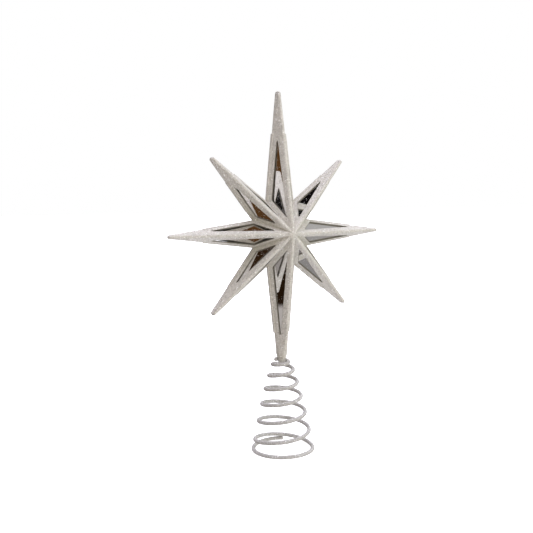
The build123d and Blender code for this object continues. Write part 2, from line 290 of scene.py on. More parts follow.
def grid_faces(rows, columns):
    """Quads of a grid of points that is stored row by row."""
    index = np.arange(rows * columns).reshape(rows, columns)
    corners = [index[:-1, :-1], index[1:, :-1], index[1:, 1:], index[:-1, 1:]]
    return np.stack(corners, axis=-1).reshape(-1, 4)


def add_object(name, data):
    """A new object in the scene."""
    made = bpy.data.objects.new(name, data)
    bpy.context.scene.collection.objects.link(made)
    return made


def add_piece(mesh, material):
    """A smooth object of one material, with the name of its mesh."""
    mesh.polygons.foreach_set("use_smooth", np.ones(len(mesh.polygons), dtype=bool))
    mesh.materials.append(material)
    return add_object(mesh.name, mesh)


def make_piece(name, points, faces, material, weld, painted_shade=None):
    """A mesh object from whole arrays, with doubles merged and faces turned outwards."""
    mesh = bpy.data.meshes.new(name)
    mesh.from_pydata(points.tolist(), [], faces.tolist())
    # Painted shade along the windows' edges goes on the points as an attribute
    if painted_shade is not None:
        edge = mesh.attributes.new(PAINTED_SHADE_ATTRIBUTE, "FLOAT", "POINT")
        edge.data.foreach_set("value", painted_shade.astype(np.float32))
    bm = bmesh.new()
    bm.from_mesh(mesh)
    bmesh.ops.remove_doubles(bm, verts=bm.verts, dist=weld)
    bmesh.ops.dissolve_degenerate(bm, edges=bm.edges, dist=weld / 2)
    bmesh.ops.recalc_face_normals(bm, faces=bm.faces)
    bm.to_mesh(mesh)
    bm.free()
    return add_piece(mesh, material)


def smooth_step(share):
    """A share that starts and ends gently, on a cubic curve."""
    share = np.clip(share, 0, 1)
    return share * share * (3 - 2 * share)


# The star's moulded halves


class RayShape:
    """The straight lines that set one side of a ray: its taper, its slope and its window.

    Across a ray, a side is the line from the sharp ridge down to the rim. Along the ray, its width and
    its ridge fall evenly, so each side is a flat facet through the star's apex. Points are given as
    (across, along, height), and reach is the distance down a side from the sharp ridge.
    """

    def __init__(self, size, place):
        length_name, kind, plates = RAYS[place % len(RAYS)]
        self.size = size
        self.turn = RAY_STEP * place
        self.bottom = length_name == "bottom"
        self.length = getattr(size, length_name + "_ray")
        self.lip_end = self.length - getattr(size, length_name + "_plain_tip")
        self.lip = getattr(size, kind + "_lip")
        self.mirror_tilt = getattr(size, plates + "_mirror_tilt")
        half_width = getattr(size, kind + "_half_width")
        self.taper = (half_width - size.tip_half_width) / (self.length - size.widths_at)
        self.slope = (size.depth - size.rim_depth) / self.width(0.0)
        self.lean = math.atan(self.slope)
        normal = np.array([self.slope, self.slope * self.taper, 1.0])
        self.normal = normal / norm(normal)
        self.apex_distance = size.depth * self.normal[2]

    def meet(self, neighbour):
        """Finds the valley, where the two rims cross, and from it the window on that side."""
        cosine, sine = math.cos(RAY_STEP), math.sin(RAY_STEP)
        own_rim = [1.0, self.taper]
        other_rim = [neighbour.taper * sine - cosine, neighbour.taper * cosine + sine]
        across, along = np.linalg.solve([own_rim, other_rim], [self.width(0.0), neighbour.width(0.0)])
        self.valley_across, self.valley_along = across, along
        self.crease_angle = math.atan2(across, along)
        self.valley_radius = math.hypot(across, along)
        self.window = self.drawn_in(0.0)
        self.window_core = self.drawn_in(self.size.window_corner)

    def width(self, along):
        """Half of the ray's width at its rim."""
        return self.size.tip_half_width + self.taper * (self.length - along)

    def ridge(self, along):
        """Height at which the two sides would meet."""
        return self.size.rim_depth + self.slope * self.width(along)

    def ridge_radius(self, along):
        """Radius of the ridge: at the centre such that all ridges drop alike, then an even change."""
        at_centre = self.size.ridge_drop / (1 / math.cos(self.lean) - 1)
        return at_centre + (self.size.tip_ridge_round - at_centre) * along / self.length

    def crown(self, along):
        """Height of the rounded ridge."""
        return self.ridge(along) - self.ridge_radius(along) * (1 / math.cos(self.lean) - 1)

    def on_side(self, reach, along):
        """Points of the flat side at a reach from the sharp ridge."""
        across = reach * math.cos(self.lean)
        along = along + 0 * reach
        return np.stack([across, along, self.ridge(along) - self.slope * across], axis=-1)

    def drawn_in(self, extra):
        """The side's triangle drawn in by its three margins, as rows of (reach, along).

        A margin's share of the triangle's height is how much of the far corner the new line takes in.
        """
        size = self.size
        tip_reach = size.tip_half_width / math.cos(self.lean)
        valley_reach = self.valley_across / math.cos(self.lean)
        plan = np.array([[0.0, 0.0], [valley_reach, self.valley_along], [tip_reach, self.length]])
        apex, valley, tip = self.on_side(plan[:, 0], plan[:, 1])
        double_area = norm(np.cross(valley - apex, tip - apex))
        margins = np.array([size.rim_margin, size.ridge_margin, size.valley_margin]) + extra
        shares = margins * norm([tip - valley, apex - tip, valley - apex], axis=1) / double_area
        return (shares + np.eye(3) * (1 - shares.sum())) @ plan

    def window_edges(self, along):
        """Reach of the window's ridge side and rim side: straight lines, and a half circle at each end."""
        apex, valley, tip = self.window
        core_apex, _, core_tip = self.window_core
        radius = self.size.window_corner
        inner = np.interp(along, [apex[1], tip[1]], [apex[0], tip[0]])
        outer = np.interp(along, [apex[1], valley[1], tip[1]], [apex[0], valley[0], tip[0]])
        for end, beyond in ((core_apex, along < core_apex[1]), (core_tip, along > core_tip[1])):
            half = np.sqrt(np.maximum(radius ** 2 - (along - end[1]) ** 2, 0))
            inner = np.where(beyond, end[0] - half, inner)
            outer = np.where(beyond, end[0] + half, outer)
        return inner, outer

    def window_gap(self, points):
        """Distance on the side from each point to the window, a core triangle grown by a radius."""
        corners = self.on_side(self.window_core[:, 0], self.window_core[:, 1])
        middle = corners.mean(axis=0)
        nearest = np.full(points.shape[:-1], np.inf)
        inside = np.ones(points.shape[:-1], dtype=bool)
        for a, b in ((0, 1), (1, 2), (2, 0)):
            run = corners[b] - corners[a]
            share = np.clip(((points - corners[a]) @ run) / (run @ run), 0, 1)
            foot = corners[a] + share[..., None] * run
            nearest = np.minimum(nearest, norm(points - foot, axis=-1))
            outward = np.cross(run, self.normal)
            outward = outward * np.sign((corners[a] - middle) @ outward)
            inside &= (points - corners[a]) @ outward <= 0
        return np.maximum(np.where(inside, 0, nearest) - self.size.window_corner, 0)


def edge_roll(gap, radius):
    """Depth of a quarter-round edge: nothing beyond the radius, the whole radius at the edge itself."""
    rest = np.clip(radius - gap, 0, radius)
    return radius - np.sqrt(np.maximum(radius * radius - rest * rest, 0))


def stub_places(size):
    """Where the stub's envelope bends: at its start, the nose, the neck and the spigot's bevelled end."""
    neck = size.stub_end + size.nose_length
    end = neck + size.spigot_length
    return [size.stub_from, size.stub_end, neck, end - size.spigot_chamfer, end - SPIGOT_FACE, end]


def ray_stations(shape, valleys):
    """Places along a ray's ridge at which its section is worked out.

    All rays share those of the inner part, so that neighbours meet point to point in the valleys.
    """
    size = shape.size
    inner = np.linspace(size.centre_cap, max(valleys) + PAST_VALLEYS, INNER_STATIONS)
    last = size.stub_end if shape.bottom else shape.length - size.tip_nose
    outer = np.linspace(inner[-1], last, OUTER_STATIONS)[1:]
    lip = shape.lip_end + size.lip_fade * LIP_STEPS
    if shape.bottom:
        spigot = stub_places(size)[2:]
        tail = np.array([spigot[0] - size.nose_length / 2, *spigot])
    else:
        bend = np.linspace(0, math.pi / 2, TIP_STATIONS)[1:]
        tail = shape.length - size.tip_nose * (1 - np.sin(bend))
    return np.unique(np.concatenate([inner, valleys, outer, lip, tail]).round(STATION_DIGITS))


def draw_in(shape, strip, along):
    """The end of a ray: a plain tip shrinks on a quarter ellipse, the bottom ray gets its round stub.

    The stub's envelope is a cone from the ridge's height to the nose, a short cone under it and the
    spigot. Points outside it are pulled in to it, and near the nose all points move on to its circle.
    """
    size = shape.size
    if not shape.bottom:
        over = np.clip((along - shape.length) / size.tip_nose + 1, 0, 1)
        ratio = np.sqrt(1 - over * over)[:, None] + 0 * strip[..., 0]
    else:
        start, spigot = shape.crown(size.stub_from), size.spigot_radius
        radii = [start, size.stub_radius, spigot, spigot, spigot - size.spigot_chamfer, 0]
        envelope = np.interp(along, stub_places(size), radii)[:, None]
        radius = np.hypot(strip[..., 0], strip[..., 2])
        drawn = np.where(along[:, None] > size.stub_from, np.minimum(radius, envelope), radius)
        rounding = smooth_step((along - size.stub_end) / size.stub_blend + 1)[:, None]
        ratio = (drawn + rounding * (envelope - drawn)) / np.maximum(radius, LEAST_RADIUS)
    return strip * np.stack([ratio, 1 + 0 * ratio, ratio], axis=-1)


def side_strips(shape, wall_depth, valleys):
    """One side of a ray as two grids of points, which part at the window and meet beyond it.

    At each station the first grid runs over the rounded ridge, an arc that touches the side, along the
    side, over the window's rolled edge and down its wall. The second comes up the wall on the window's
    other side, turns into the upright rim on a quadratic curve, and ends in the lip's step. Up to the
    valley the lines across the side are skewed, so that they end on the same points as the neighbour's.
    Each grid comes with its faces, and with how much painted shade darkens the coat at each point.
    """
    size = shape.size
    along = ray_stations(shape, valleys)
    column = along[:, None]
    cosine, tangent_of = math.cos(shape.lean), math.tan(shape.lean)
    crease_radius = along / math.cos(HALF_STEP)
    crease = crease_radius * math.sin(shape.crease_angle) / cosine
    in_valley = crease_radius < shape.valley_radius + SAME_PLACE
    fade = 1 - smooth_step((crease_radius - shape.valley_radius - SKEW_KEPT) / SKEW_FADE)
    skew = fade * (crease_radius * math.cos(shape.crease_angle) - along) / crease

    def at(reach):
        return column + skew[:, None] * reach

    rim = np.where(in_valley, crease, shape.width(along) / (cosine + shape.taper * skew))
    round_here = np.minimum(shape.ridge_radius(along), RIDGE_MOST * rim / tangent_of)
    touch = round_here * tangent_of

    inner = outer = 0.5 * rim
    for _ in range(WINDOW_ROUNDS):
        inner = shape.window_edges(along + skew * inner)[0]
        outer = shape.window_edges(along + skew * outer)[1]
    opened = outer - inner > SAME_PLACE
    core_apex, core_valley, core_tip = shape.window_core
    at_start = np.clip(core_apex[0] / core_apex[1] * along, SEAM_FROM_RIDGE * touch, SEAM_TO_RIM * rim)
    at_end = np.clip(core_tip[0], touch, TIP_SEAM_TO_RIM * rim)
    closed = np.where(along < core_valley[1], at_start, at_end)
    inner = np.where(opened, inner, closed)
    outer = np.where(opened, outer, closed)
    rim_top = np.where(in_valley, crease, np.maximum(rim - size.rim_blend, closed))
    rim_top = np.maximum(rim_top, outer)

    def rolled(reach):
        points = shape.on_side(reach, at(reach))
        return points - edge_roll(shape.window_gap(points), size.window_round)[..., None] * shape.normal

    bend = np.linspace(0, 1, RIDGE_POINTS) * shape.lean
    arc_across = round_here[:, None] * np.sin(bend)
    arc_along = at(touch[:, None] * np.linspace(0, 1, RIDGE_POINTS))
    arc_height = shape.ridge(arc_along) - round_here[:, None] * (1 / cosine - np.cos(bend))
    arc = np.stack([arc_across, arc_along, arc_height], axis=-1)
    steps = size.window_round * EDGE_STEPS
    ridge_side = rolled(np.maximum(inner[:, None] - steps, touch[:, None]))
    rim_side = rolled(np.minimum(outer[:, None] + steps[::-1], rim_top[:, None]))
    rim_side = np.concatenate([rim_side, rolled(rim_top[:, None])], axis=1)
    sunk = wall_depth * shape.normal
    ridge_foot = shape.on_side(inner[:, None], at(inner[:, None])) - sunk
    rim_foot = shape.on_side(outer[:, None], at(outer[:, None])) - sunk

    lip_share = 1 - smooth_step((along - shape.lip_end) / size.lip_fade + 0.5)
    rim_along = along + skew * rim
    width = shape.width(rim_along)
    edge = width + shape.lip * lip_share
    easing = size.lip_round * lip_share

    def upright(across, height):
        return np.stack([across, rim_along, height + 0 * across], axis=-1)

    facet_end, corner = rim_side[:, -1], shape.on_side(rim, rim_along)
    rim_foot_point = upright(width, size.lip_depth)
    turn = np.linspace(0, 1, RIM_POINTS)[1:, None, None]
    rim_curve = (1 - turn) ** 2 * facet_end + 2 * (1 - turn) * turn * corner + turn ** 2 * rim_foot_point
    lip_curve = [
        upright(edge - easing, size.lip_depth),
        upright(edge - LIP_BEND * easing, size.lip_depth - LIP_BEND * size.lip_round),
        upright(edge, size.lip_depth - size.lip_round),
        upright(edge, 0.0),
    ]
    rim_curve = np.stack([*rim_curve, *lip_curve], axis=1)

    grids = []
    ridge_strip = np.concatenate([arc, ridge_side, ridge_foot], axis=1)
    rim_strip = np.concatenate([rim_foot, rim_side, rim_curve], axis=1)
    # Painted shade over the window's rolled edge and at the wall's foot, only where the window is open
    ridge_painted_shade = opened[:, None] * np.pad(PAINTED_SHADE_STEPS, (ridge_strip.shape[1] - len(PAINTED_SHADE_STEPS), 0))
    rim_painted_shade = opened[:, None] * np.pad(PAINTED_SHADE_STEPS[::-1], (0, rim_strip.shape[1] - len(PAINTED_SHADE_STEPS)))
    ridge_end = ridge_strip.shape[1] - 1
    for strip, foot_column, painted_shade in ((ridge_strip, ridge_end, ridge_painted_shade), (rim_strip, 0, rim_painted_shade)):
        limit = strip[..., 1] * math.tan(shape.crease_angle)
        clamped = strip[..., 0] >= limit - SAME_PLANE
        strip[..., 0] = np.minimum(strip[..., 0], limit)
        strip = draw_in(shape, strip, along)
        faces = grid_faces(*strip.shape[:2])
        in_valley_plane = clamped.reshape(-1)[faces].all(axis=1)
        in_wall = (faces % strip.shape[1] == foot_column).any(axis=1)
        by_window = opened[faces // strip.shape[1]].any(axis=1)
        grids.append((strip, faces[~in_valley_plane & (~in_wall | by_window)], painted_shade))
    return grids


def centre_dome(ring, top):
    """Dome over the centre: a ring of section points drawn in to the axis, rising on a parabola."""
    shares = np.linspace(1, 0, DOME_RINGS)
    plan = ring[None, :, :2] * shares[:, None, None]
    height = top + (ring[:, 2] - top) * (shares ** 2)[:, None]
    return np.concatenate([plan, height[..., None]], axis=-1)


def star_sides(size):
    """The sixteen sides of a half: the shape of each, +1 or -1 for its turn from the ridge, and its wall.

    The walls' depths go with the sides' distances from the star's middle, so that their backs also meet
    in one point.
    """
    sides = []
    for place in range(len(RAYS)):
        for side in (1, -1):
            shape = RayShape(size, place)
            shape.meet(RayShape(size, place + side))
            sides.append((shape, side))
    nearest = min(shape.apex_distance for shape, side in sides)
    walls = [size.wall * shape.apex_distance / nearest + size.glue_line for shape, side in sides]
    return [(shape, side, wall) for (shape, side), wall in zip(sides, walls)]


def stood_up(shape, side, facing, grid):
    """Turns (across, along, height) of one side to its ray's angle, in the frame."""
    across, along, height = grid.reshape(-1, 3).T * np.array([[side], [1], [1]])
    x = along * math.cos(shape.turn) - across * math.sin(shape.turn)
    up = along * math.sin(shape.turn) + across * math.cos(shape.turn)
    return np.stack([x, facing * height, STAR_TOP - shape.size.top_ray + up], axis=-1)


def half_star(size, facing):
    """All sides of one half, stood up in the frame, as points, faces and how much painted shade each point
    gets.
    """
    sides = star_sides(size)
    top = max(shape.crown(size.centre_cap) for shape, side, wall in sides) + size.cap_rise
    radii = {shape.valley_radius for shape, side, wall in sides}
    valleys = sorted({round(radius * math.cos(HALF_STEP), STATION_DIGITS) for radius in radii})
    # edges gathers how much painted shade each point gets
    points, faces, edges, count = [], [], [], 0
    for shape, side, wall_depth in sides:
        grids = side_strips(shape, wall_depth, valleys)
        ring = np.concatenate([grids[0][0][0, :-1], grids[1][0][0, 1:len(EDGE_STEPS) + 2]])
        dome = centre_dome(ring, top)
        grids.append((dome, grid_faces(*dome.shape[:2]), np.zeros(dome.shape[:2])))
        for grid, quads, painted_shade in grids:
            points.append(stood_up(shape, side, facing, grid))
            faces.append(quads + count)
            edges.append(painted_shade.ravel())
            count += len(points[-1])
    used, faces = np.unique(np.concatenate(faces), return_inverse=True)
    return np.concatenate(points)[used], faces.reshape(-1, 4), np.concatenate(edges)[used]


def mirror_plate(shape, wall_depth):
    """A thin triangular plate behind the wall, which is the window's triangle grown by an overlap.

    Its outline runs round the triangle at even steps. Each row of the grid is that outline, drawn in to
    the middle by a share and sunk by a depth: from the middle of the face, over the edge, to the back.
    A plate that lies steeper than the wall touches it by the ridge, and a flatter one by the rim.
    """
    size = shape.size
    plan = shape.drawn_in(-size.mirror_overlap)
    fall = math.tan(shape.mirror_tilt) * plan[:, 0]
    corners = shape.on_side(plan[:, 0], plan[:, 1]) - (fall - fall.min())[:, None] * shape.normal
    step = np.arange(3 * PLATE_STEPS + 1) / PLATE_STEPS
    start = np.floor(step).astype(int)
    share = (step - start)[:, None]
    outline = corners[start % 3] * (1 - share) + corners[(start + 1) % 3] * share
    middle = corners.mean(axis=0)
    ease = size.mirror_ease
    bevel = 1 - ease / PLATE_REACH
    reach = np.array([0, bevel, 1, 1, bevel, 0])
    sink = wall_depth + np.array([0, 0, ease, size.mirror - ease, size.mirror, size.mirror])
    return middle + reach[:, None, None] * (outline - middle) - sink[:, None, None] * shape.normal


# The coil spring


def coil_line(size, turn):
    """Centre line of the wire: an even taper that curls in at the top, and turns that lie closer there."""
    curl_from = size.turns - size.grip_turns - size.curl_turns
    taper = np.clip((turn - size.flat_turns) / (curl_from - size.flat_turns), 0, 1)
    curl = np.clip((turn - curl_from) / size.curl_turns, 0, 1)
    radius = size.base_radius + taper * (size.neck_radius - size.base_radius)
    radius = radius + (size.top_radius - size.neck_radius) * (1 - np.cos(math.pi * curl)) / 2
    base = size.wire / 2 - size.base_cut
    closed_from = size.turns - size.closed_turns
    active = size.height - size.wire / 2 - base - size.closed_pitch * size.closed_turns
    rise = np.clip((turn - size.flat_turns) / (closed_from - size.flat_turns), 0, 1)
    height = base + active * (rise + size.pitch_fall * rise * (1 - rise))
    height = height + size.closed_pitch * np.clip(turn - closed_from, 0, None)
    bearing = size.start_angle + 2 * math.pi * turn
    return np.stack([radius * np.cos(bearing), radius * np.sin(bearing), height], axis=-1)


def coil_tube(size):
    """A circle carried along the centre line, with rounded ends, cut flat where it stands.

    Each circle lies across the line: one axis points away from the coil's middle and one up. Returns
    the points, the height of the centre line under each point, and the faces as plain lists: quads
    along the wire, and triangles round the pole of each end.
    """
    turn = np.linspace(0, size.turns, round(size.turns * size.steps) + 1)
    line = coil_line(size, turn)
    ahead = np.gradient(line, axis=0)
    ahead = ahead / norm(ahead, axis=1, keepdims=True)
    bend = np.linspace(0, math.pi / 2, WIRE_END_RINGS + 1)
    scale = np.concatenate([np.sin(bend)[:-1], np.ones(len(turn)), np.cos(bend)[1:]])
    push = np.concatenate([-np.cos(bend)[:-1], np.zeros(len(turn)), np.sin(bend)[1:]])
    push = push * size.wire * WIRE_END
    line = np.pad(line, ((WIRE_END_RINGS, WIRE_END_RINGS), (0, 0)), mode="edge")
    ahead = np.pad(ahead, ((WIRE_END_RINGS, WIRE_END_RINGS), (0, 0)), mode="edge")
    away = line * np.array([1, 1, 0])
    away = away - (away * ahead).sum(axis=1, keepdims=True) * ahead
    away = away / norm(away, axis=1, keepdims=True)
    up = np.cross(ahead, away)
    spin = np.linspace(0, 2 * math.pi, size.sides, endpoint=False)
    ring = np.cos(spin)[None, :, None] * away[:, None] + np.sin(spin)[None, :, None] * up[:, None]
    points = line[:, None] + push[:, None, None] * ahead[:, None]
    points = points + size.wire / 2 * scale[:, None, None] * ring
    points[..., 2] = np.maximum(points[..., 2], 0)
    rings = points[1:-1]
    index = np.arange(rings.shape[0] * size.sides).reshape(rings.shape[:2])
    following = np.roll(index, -1, axis=1)
    quads = np.stack([index[:-1], following[:-1], following[1:], index[1:]], axis=-1).reshape(-1, 4)
    first_pole = np.full(size.sides, index.size)
    first_end = np.stack([first_pole, following[0], index[0]], axis=-1)
    last_end = np.stack([index[-1], following[-1], first_pole + 1], axis=-1)
    points = np.concatenate([rings.reshape(-1, 3), points[:1, 0], points[-1:, 0]])
    middle = np.concatenate([np.repeat(line[1:-1, 2], size.sides), line[:1, 2], line[-1:, 2]])
    return points, middle, quads.tolist() + first_end.tolist() + last_end.tolist()


def even_blend(piece, middle, points, height):
    """Moves each point onto the axis, at a height that undoes an easing of its centre line's share of the
    given height, bakes the object's transform into the mesh, and writes the real points back.

    No blend is made, so the wire keeps the points it came with.
    """
    share = np.clip(middle / height, 0, 1)
    eased = 0.5 - np.sin(np.arcsin(1 - 2 * share) / 3)
    measured = np.zeros_like(points)
    measured[:, 2] = eased * height
    piece.data.vertices.foreach_set("co", measured.astype(np.float32).ravel())
    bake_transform(piece)
    piece.data.vertices.foreach_set("co", points.astype(np.float32).ravel())
    piece.data.update()


# Materials


class NodeSheet:
    """Short calls to lay out the nodes of a material or of the world."""

    def __init__(self, owner, shader="Principled BSDF"):
        owner.use_nodes = True
        self.tree = owner.node_tree
        self.shader = self.tree.nodes[shader]

    def feed(self, node, sources):
        """Gives a node's sockets numbers, colours, vectors or the outputs of other nodes."""
        for name, source in sources.items():
            socket = node.inputs[name]
            if isinstance(source, bpy.types.NodeSocket):
                self.tree.links.new(source, socket)
            elif isinstance(source, (float, int)):
                socket.default_value = source
            else:
                socket.default_value = (*source, 1)[:len(socket.default_value)]

    def add(self, kind, output, sources, **settings):
        """Adds a node, sets and feeds it, and returns one of its outputs."""
        node = self.tree.nodes.new(kind)
        for name, value in settings.items():
            setattr(node, name, value)
        self.feed(node, sources)
        return node.outputs[output]

    def cells(self, size):
        """A random colour for each cell of a given size."""
        place = self.add("ShaderNodeTexCoord", "Object", {})
        return self.add("ShaderNodeTexVoronoi", "Color", {"Scale": 1 / size, "Vector": place})

    def cloud(self, size, detail=3.0):
        """Soft noise with patches of a given size."""
        place = self.add("ShaderNodeTexCoord", "Object", {})
        sources = {"Scale": 1 / size, "Detail": detail, "Vector": place}
        return self.add("ShaderNodeTexNoise", "Fac", sources)

    def split(self, source):
        """The red, green and blue of a colour."""
        return self.add("ShaderNodeSeparateColor", "Red", {"Color": source}).node.outputs

    def ramp(self, value, stops):
        """A colour from a row of stops, each of them a place and a tone."""
        shown = self.add("ShaderNodeValToRGB", "Color", {"Fac": value})
        elements = shown.node.color_ramp.elements
        while len(elements) < len(stops):
            elements.new(0.5)
        for element, (place, tone) in zip(elements, stops):
            element.position = place
            element.color = (*tone, 1)
        return shown

    def range(self, value, low, high, start=0.0, stop=1.0):
        """Carries a value between start and stop over to one between low and high."""
        bounds = {"From Min": start, "From Max": stop, "To Min": low, "To Max": high}
        return self.add("ShaderNodeMapRange", "Result", {**bounds, "Value": value})

    def mix(self, first, second, factor, blend="MIX"):
        """Blends a second colour over a first one."""
        sources = {6: first, 7: second, 0: factor}
        return self.add("ShaderNodeMix", 2, sources, data_type="RGBA", blend_type=blend)

    def vector(self, operation, sources):
        return self.add("ShaderNodeVectorMath", 0, sources, operation=operation)


def glitter_material(name, tones, sparkle, flake_size, lean_share, edge=None):
    """Glitter coat: small flakes, each with its own tone, lean and gloss, a few of them bright sparkles.

    Where the painted shade attribute says so, the edge colour is laid over the coat as painted shade.
    """
    material = bpy.data.materials.new(name)
    sheet = NodeSheet(material)
    flakes = sheet.cells(flake_size)
    red, green, blue = sheet.split(flakes)
    tint = sheet.ramp(red, tuple(zip(FLAKE_STOPS, tones)))
    patch = sheet.range(sheet.cloud(PATCH), *PATCH_TONES, *NOISE_BAND)
    grain = sheet.range(sheet.cloud(GRAIN, detail=2.0), *GRAIN_TONES, *NOISE_BAND)
    tint = sheet.mix(tint, patch, 1.0, "MULTIPLY")
    tint = sheet.mix(tint, grain, 1.0, "MULTIPLY")
    chance = sheet.split(sheet.cells(SPARKLE * flake_size))[0]
    tint = sheet.mix(tint, sparkle, sheet.range(chance, 0.0, 1.0, *SPARKLE_BAND))
    # Painted shade: the edge colour darkens the coat along the windows' edges
    if edge is not None:
        painted_shade = sheet.add("ShaderNodeAttribute", "Fac", {}, attribute_name=PAINTED_SHADE_ATTRIBUTE)
        tint = sheet.mix(tint, edge, sheet.range(painted_shade, 0.0, PAINTED_SHADE_SHARE))
    lean = sheet.vector("SUBTRACT", {0: flakes, 1: (0.5, 0.5, 0.5)})
    lean = sheet.vector("SCALE", {0: lean, "Scale": lean_share})
    normal = sheet.add("ShaderNodeNewGeometry", "Normal", {})
    sheet.feed(sheet.shader, {
        "Base Color": tint,
        "Roughness": sheet.range(green, low=0.4, high=0.7),
        "Metallic": sheet.range(blue, 0.0, 0.6, *METAL_BAND),
        "Normal": sheet.vector("NORMALIZE", {0: sheet.vector("ADD", {0: normal, 1: lean})}),
    })
    return material


def mirror_material(colours):
    """Silvered sheet: a clear gloss with a faint ripple, and specks of loose glitter and dust on it."""
    material = bpy.data.materials.new("silvered mirror")
    sheet = NodeSheet(material)
    speck = sheet.range(sheet.split(sheet.cells(SPECK))[0], 0.0, 1.0, *SPECK_BAND)
    film = sheet.range(sheet.cloud(FILM), *FILM_SHARE, *FILM_BAND)
    tint = sheet.mix(colours.silver, colours.film, film)
    ripple = {"Strength": 0.02, "Distance": 0.001, "Height": sheet.cloud(RIPPLE, detail=1.0)}
    sheet.feed(sheet.shader, {
        "Base Color": sheet.mix(tint, colours.speck, speck),
        "Roughness": sheet.range(speck, low=0.02, high=0.5),
        "Metallic": sheet.range(speck, low=1.0, high=0.2),
        "Normal": sheet.add("ShaderNodeBump", "Normal", ripple),
    })
    return material


def floor_material(colours, glow):
    """Pale matt floor with faint clouds, lit from below."""
    material = bpy.data.materials.new("pale floor")
    sheet = NodeSheet(material)
    cloud = sheet.cloud(FLOOR_CLOUD, detail=1.0)
    sheet.feed(sheet.shader, {
        "Base Color": sheet.mix(colours.floor, colours.floor_shade, cloud),
        "Roughness": 0.9,
        "Specular IOR Level": 0.0,
        "Emission Color": WHITE,
        "Emission Strength": glow,
    })
    return material


# Operators


class STAR_OT_halves(bpy.types.Operator):
    """Makes the two moulded halves of the star, with rounded bars round their windows"""

    bl_idname = "star.make_halves"
    bl_label = "Star halves"

    def execute(self, context):
        size = context.scene.star_sizes
        colours = context.scene.finish_colours
        # edge is the colour of the painted shade along the windows' edges
        base, edge = colours.coat, colours.painted_edge_shade
        tones = (colours.coat_shade, base, base, colours.coat_blush, colours.coat_leaf)
        coat = glitter_material("star glitter", tones, colours.sparkle, COAT_FLAKE, COAT_LEAN, edge)
        for name, node, facing in (("front_half", "front_frame", -1), ("rear_half", "rear_frame", 1)):
            points, faces, painted_shade = half_star(size, facing)
            piece = make_piece(name, points, faces, coat, HALF_WELD, painted_shade)
            piece.data.set_sharp_from_angle(angle=HALF_CREASE)
            shell = piece.modifiers.new("Shell", "SOLIDIFY")
            shell.thickness = size.skin
            shell.offset = -1
            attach(piece, STAR_BODY)
            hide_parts(node)
        return {"FINISHED"}


class STAR_OT_mirrors(bpy.types.Operator):
    """Makes the silvered plates behind the windows of both halves"""

    bl_idname = "star.make_mirrors"
    bl_label = "Mirrors"

    def execute(self, context):
        silver = mirror_material(context.scene.finish_colours)
        nodes = [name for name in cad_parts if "_mirror_" in name]
        middles = np.array([(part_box(name)[0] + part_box(name)[1]) / 2 for name in nodes])
        sides = star_sides(context.scene.star_sizes)
        if len(nodes) != 2 * len(sides):
            raise RuntimeError("the frame's mirrors don't match the star's sides")
        for facing in (-1, 1):
            for shape, side, wall_depth in sides:
                grid = mirror_plate(shape, wall_depth)
                points = stood_up(shape, side, facing, grid)
                gaps = norm(middles - points.mean(axis=0), axis=1)
                node = nodes[int(gaps.argmin())]
                name = node.replace("mirror", "plate")
                piece = make_piece(name, points, grid_faces(*grid.shape[:2]), silver, PLATE_WELD)
                piece.data.set_sharp_from_angle(angle=PLATE_CREASE)
                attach(piece, STAR_BODY)
                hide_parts(node)
        return {"FINISHED"}


class STAR_OT_spring(bpy.types.Operator):
    """Makes the conical coil spring as one unbroken wire"""

    bl_idname = "star.make_spring"
    bl_label = "Coil spring"

    def execute(self, context):
        size = context.scene.spring_sizes
        colours = context.scene.finish_colours
        tones = (colours.wire_shade, *[colours.wire] * 3, colours.wire_tint)
        coat = glitter_material("wire glitter", tones, colours.sparkle, WIRE_FLAKE, WIRE_LEAN)
        points, middle, faces = coil_tube(size)
        mesh = bpy.data.meshes.new("coil_spring")
        mesh.from_pydata(points.tolist(), [], faces)
        piece = add_piece(mesh, coat)
        even_blend(piece, middle, points, size.height)
        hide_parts("tree_spring")
        return {"FINISHED"}


def photo_camera(stage):
    """Camera on a sphere round the star, with a lean and with its axis off the image's middle."""
    data = bpy.data.cameras.new("photo camera")
    data.sensor_width = stage.sensor
    data.lens = stage.focal_pixels / IMAGE_SIZE * stage.sensor
    data.shift_x = -(stage.middle_pixel - IMAGE_SIZE / 2) / IMAGE_SIZE
    data.clip_start, data.clip_end = stage.near_clip, stage.far_clip
    camera = add_object("photo camera", data)
    turn, tilt = stage.azimuth, stage.elevation
    back = Vector((math.sin(turn) * math.cos(tilt), -math.cos(turn) * math.cos(tilt), math.sin(tilt)))
    right = Vector((math.cos(turn), math.sin(turn), 0))
    up = back.cross(right)
    leaning = math.cos(stage.roll) * right + math.sin(stage.roll) * up
    upright = back.cross(leaning)
    place = Matrix((leaning, upright, back)).transposed().to_4x4()
    place.translation = Vector((0, 0, stage.look_height)) + back * stage.distance
    camera.matrix_world = place
    bpy.context.scene.camera = camera


def key_light(stage):
    """A large square lamp that faces a point of the star."""
    data = bpy.data.lights.new("key light", "AREA")
    data.energy = stage.key_power
    data.size = stage.key_size
    lamp = add_object("key light", data)
    lamp.location = stage.key_place
    lamp.rotation_mode = "QUATERNION"
    lamp.rotation_quaternion = (stage.key_target - stage.key_place).to_track_quat("-Z", "Y")


